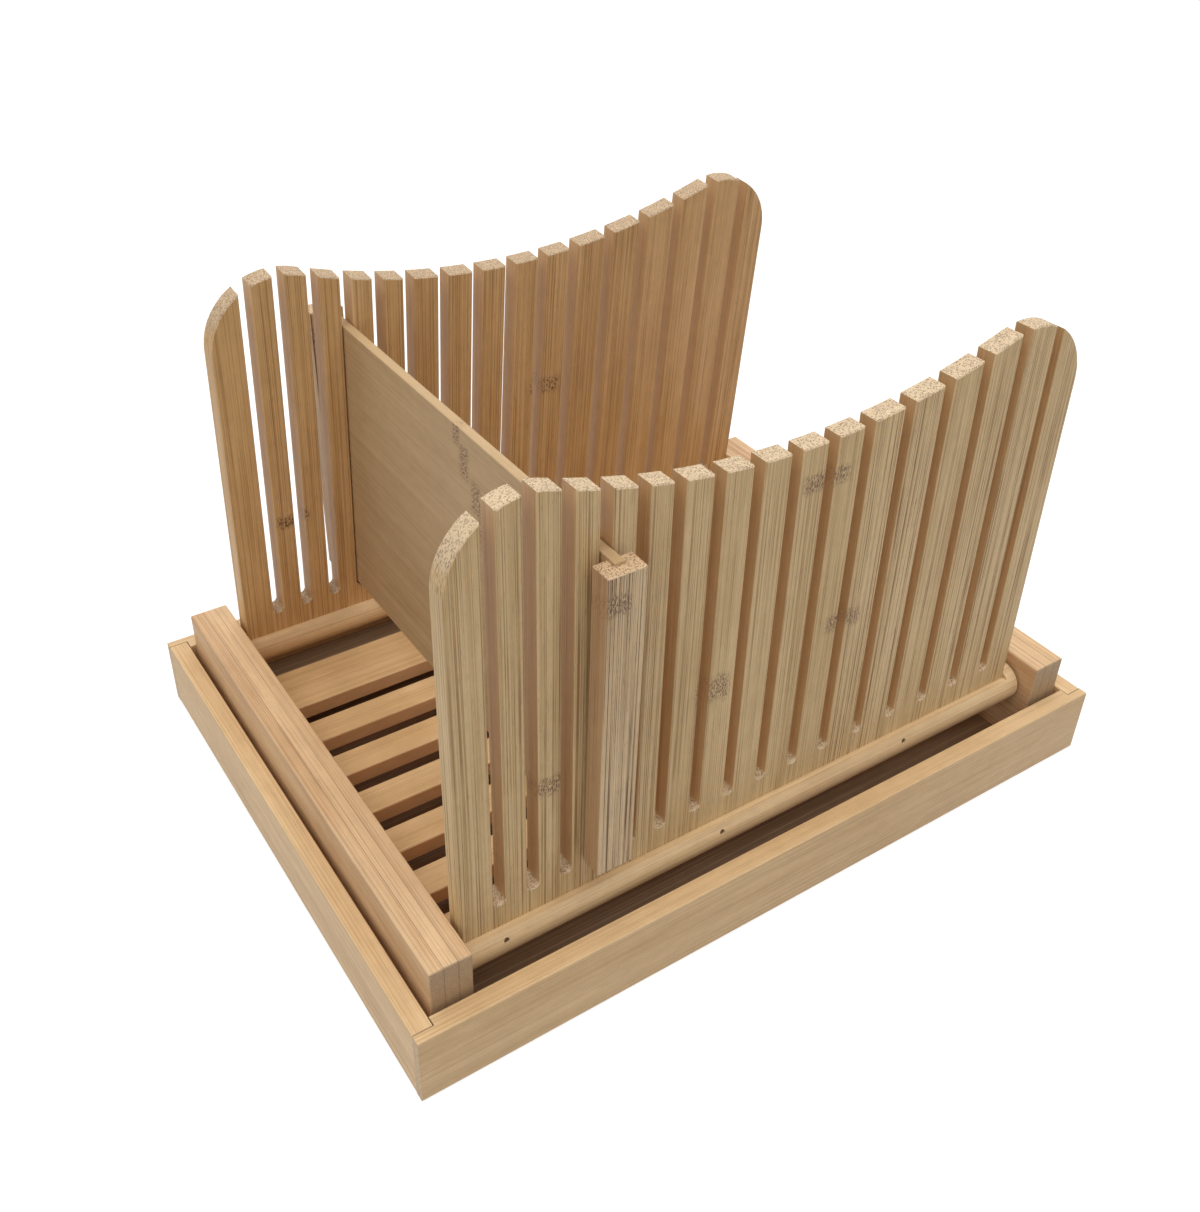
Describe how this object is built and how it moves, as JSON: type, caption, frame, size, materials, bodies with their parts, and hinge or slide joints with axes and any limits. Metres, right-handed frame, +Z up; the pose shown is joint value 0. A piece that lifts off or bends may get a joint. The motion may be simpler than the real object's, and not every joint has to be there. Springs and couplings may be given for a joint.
{
  "type": "bread slicer guide",
  "caption": "Bamboo bread slicing guide: two folding slotted panels over a slatted frame, with a lift-out stop plate, standing loose in a shallow crumb tray.",
  "frame": {"origin": "middle of the crumb tray's underside, on the table", "axes": "+X along the loaf to the right, +Y from the front panel to the back panel, +Z up"},
  "size_m": [0.292, 0.218, 0.1885],
  "materials": {
    "tray_bamboo": "sawn and sanded bamboo, clear satin, long streaks and node marks",
    "board_bamboo": "thin bamboo board, clear satin",
    "rail_bamboo": "three-layer bamboo with glue lines, clear satin",
    "slat_bamboo": "bamboo strip, clear satin",
    "panel_bamboo": "edge-glued bamboo strips with fine upright streaks, clear satin",
    "rod_bamboo": "turned bamboo, clear satin",
    "plate_bamboo": "thin edge-glued bamboo, clear satin",
    "bar_bamboo": "bamboo bar, clear satin, speckled end grain",
    "pin_bamboo": "plain dowel",
    "brad_steel": "dull steel"
  },
  "bodies": {
    "crumb_tray": {"tray_front_wall": "tray_bamboo", "tray_back_wall": "tray_bamboo", "tray_left_wall": "tray_bamboo", "tray_right_wall": "tray_bamboo", "tray_bottom_board": "board_bamboo"},
    "slicing_frame": {"left_rail": "rail_bamboo", "right_rail": "rail_bamboo", "wide_floor_slat": "slat_bamboo", "floor_slat_1": "slat_bamboo", "floor_slat_2": "slat_bamboo", "floor_slat_3": "slat_bamboo", "floor_slat_4": "slat_bamboo", "floor_slat_5": "slat_bamboo", "floor_slat_6": "slat_bamboo"},
    "front_guide": {"front_guide_panel": "panel_bamboo", "front_hinge_rod": "rod_bamboo", "front_rod_brads": "brad_steel", "front_left_hinge_pin": "pin_bamboo", "front_right_hinge_pin": "pin_bamboo"},
    "back_guide": {"back_guide_panel": "panel_bamboo", "back_hinge_rod": "rod_bamboo", "back_rod_brads": "brad_steel", "back_left_hinge_pin": "pin_bamboo", "back_right_hinge_pin": "pin_bamboo"},
    "stop": {"stop_plate": "plate_bamboo", "stop_front_bar": "bar_bamboo", "stop_back_bar": "bar_bamboo"}
  },
  "joints": [
    {"name": "frame_lift", "type": "slide", "parent": "crumb_tray", "child": "slicing_frame", "axis": [0, 0, 1], "range_m": [0, 0.06]},
    {"name": "front_fold", "type": "hinge", "parent": "slicing_frame", "child": "front_guide", "pos_m": [0, -0.087, 0.031], "axis": [-1, 0, 0], "range_deg": [-0.7, 90.3]},
    {"name": "back_fold", "type": "hinge", "parent": "slicing_frame", "child": "back_guide", "pos_m": [0, 0.087, 0.031], "axis": [1, 0, 0], "range_deg": [-4.4, 61.6]},
    {"name": "stop_lift", "type": "slide", "parent": "slicing_frame", "child": "stop", "axis": [0, 0, 1], "range_m": [0, 0.15]}
  ]
}
